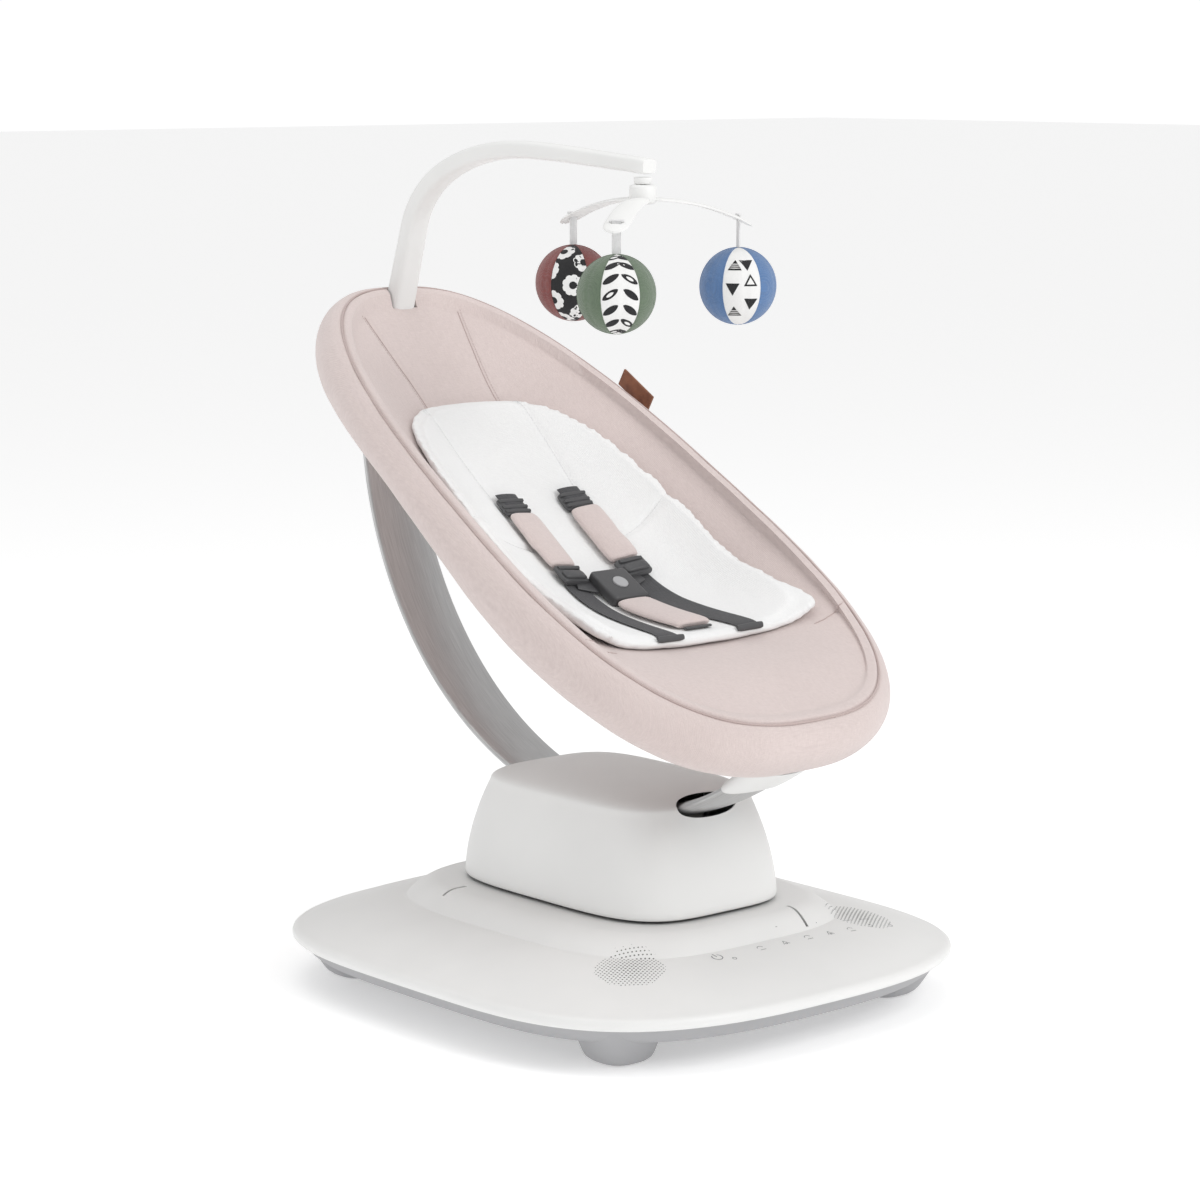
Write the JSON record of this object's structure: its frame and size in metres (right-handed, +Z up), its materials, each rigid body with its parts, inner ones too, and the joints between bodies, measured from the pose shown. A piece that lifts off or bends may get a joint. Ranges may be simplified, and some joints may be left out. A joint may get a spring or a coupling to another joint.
{
  "type": "motorised baby swing",
  "caption": "Motorised infant swing: low base, sliding and lifting housing, reclining padded seat on a curved rail, harness and a toy mobile.",
  "frame": {"origin": "on the floor, under the centre of the overall box", "axes": "+Z up, -Y towards the control panel and the child's feet, +X to the right of someone facing +Y"},
  "size_m": [0.495, 0.6334, 0.7625],
  "materials": {
    "white_shell": "satin moulded",
    "grey_shell": "fine textured",
    "foot_rubber": "matte",
    "steel": "ground",
    "rail_metal": "satin silver",
    "frame_tube": "drawn",
    "dark_plastic": "matte",
    "nylon": "matte",
    "circuit_board": "solder mask",
    "pink_cloth": "woven, padded",
    "white_cloth": "soft knit",
    "webbing": "woven",
    "tag_leather": "smooth",
    "red_cloth": "felted",
    "blue_cloth": "felted",
    "green_cloth": "felted"
  },
  "bodies": {
    "base": {"base_tray": "grey_shell", "foot_pad_left_front": "foot_rubber", "foot_pad_left_rear": "foot_rubber", "foot_pad_right_front": "foot_rubber", "foot_pad_right_rear": "foot_rubber", "base_cover": "white_shell", "power_inlet": "dark_plastic", "speaker_left": "dark_plastic", "speaker_right": "dark_plastic", "control_board": "circuit_board", "guide_rod_front": "steel", "guide_rod_rear": "steel", "sway_rack": "nylon"},
    "carriage": {"carriage_plate": "nylon", "rod_bush_front": "dark_plastic", "rod_bush_rear": "dark_plastic", "neck_sleeve": "white_shell", "lift_post_front": "steel", "lift_post_rear": "steel", "lift_motor": "grey_shell", "sway_motor": "grey_shell", "lift_spring": "steel"},
    "sway_gear": {"sway_pinion": "dark_plastic"},
    "lift_gear": {"lift_pinion": "dark_plastic"},
    "housing": {"housing_shell": "white_shell", "lift_chassis": "grey_shell", "lift_rack": "nylon", "rail_shoe_front": "nylon", "rail_shoe_rear": "nylon", "recline_brake": "foot_rubber", "rail_keeper": "nylon"},
    "lock": {"recline_knob": "grey_shell"},
    "seat": {"seat_rail": "rail_metal", "rail_sleeve": "white_shell", "seat_cover": "pink_cloth", "seat_hoop": "frame_tube", "head_bracket": "dark_plastic", "foot_bracket": "dark_plastic", "seat_insert": "white_cloth", "strap_adjuster_left": "dark_plastic", "strap_adjuster_right": "dark_plastic", "shoulder_pad_left": "pink_cloth", "shoulder_pad_right": "pink_cloth", "strap_slider_left": "dark_plastic", "strap_slider_right": "dark_plastic", "waist_strap_left": "webbing", "waist_strap_right": "webbing", "harness_buckle": "dark_plastic", "crotch_pad": "pink_cloth", "leather_tag": "tag_leather", "mobile_arm": "white_shell", "mobile_post": "white_shell"},
    "button": {"release_button": "grey_shell"},
    "spider": {"mobile_spider": "white_shell"},
    "toy_red": {"ball_red": "red_cloth", "ball_strap_red": "white_cloth"},
    "toy_blue": {"ball_blue": "blue_cloth", "ball_strap_blue": "white_cloth"},
    "toy_green": {"ball_green": "green_cloth", "ball_strap_green": "white_cloth"}
  },
  "joints": [
    {"name": "sway", "type": "slide", "parent": "base", "child": "carriage", "axis": [1, 0, 0], "range_m": [-0.03, 0.03]},
    {"name": "sway_gear_spin", "type": "hinge", "parent": "carriage", "child": "sway_gear", "pos_m": [0, 0.00197, 0.03], "axis": [0, 0, 1], "range_deg": [-150, 150]},
    {"name": "lift_gear_spin", "type": "hinge", "parent": "carriage", "child": "lift_gear", "pos_m": [0, -0.04003, 0.105], "axis": [1, 0, 0], "range_deg": [-5, 190]},
    {"name": "lift", "type": "slide", "parent": "carriage", "child": "housing", "axis": [0, 0, 1], "range_m": [0, 0.038], "deforming": ["lift_spring"]},
    {"name": "lock_turn", "type": "hinge", "parent": "housing", "child": "lock", "pos_m": [0, 0.07997, 0.124], "axis": [0, 1, 0], "range_deg": [0, 90]},
    {"name": "recline", "type": "hinge", "parent": "housing", "child": "seat", "pos_m": [0, -0.04003, 0.505], "axis": [1, 0, 0], "range_deg": [-18, 4]},
    {"name": "button_press", "type": "slide", "parent": "seat", "child": "button", "axis": [0, 0.506, -0.8625], "range_m": [0, 0.0024], "stiffness_N_per_m": 300},
    {"name": "mobile_turn", "type": "hinge", "parent": "seat", "child": "spider", "pos_m": [0, -0.07103, 0.715], "axis": [0, 0, 1], "continuous": true},
    {"name": "red_swing", "type": "hinge", "parent": "spider", "child": "toy_red", "pos_m": [-0.00535, 0.01641, 0.69556], "axis": [0.9981, 0.0611, 0], "range_deg": [-25, 25]},
    {"name": "blue_swing", "type": "hinge", "parent": "spider", "child": "toy_blue", "pos_m": [0.0784, -0.11011, 0.69556], "axis": [-0.4462, -0.8949, 0], "range_deg": [-25, 25]},
    {"name": "green_swing", "type": "hinge", "parent": "spider", "child": "toy_green", "pos_m": [-0.07305, -0.11938, 0.69556], "axis": [-0.5519, 0.8339, 0], "range_deg": [-25, 25]}
  ],
  "couplings": [
    {"joint": "sway_gear_spin", "follows": "sway", "rad_per_m": 83.333},
    {"joint": "lift_gear_spin", "follows": "lift", "rad_per_m": 83.333}
  ]
}
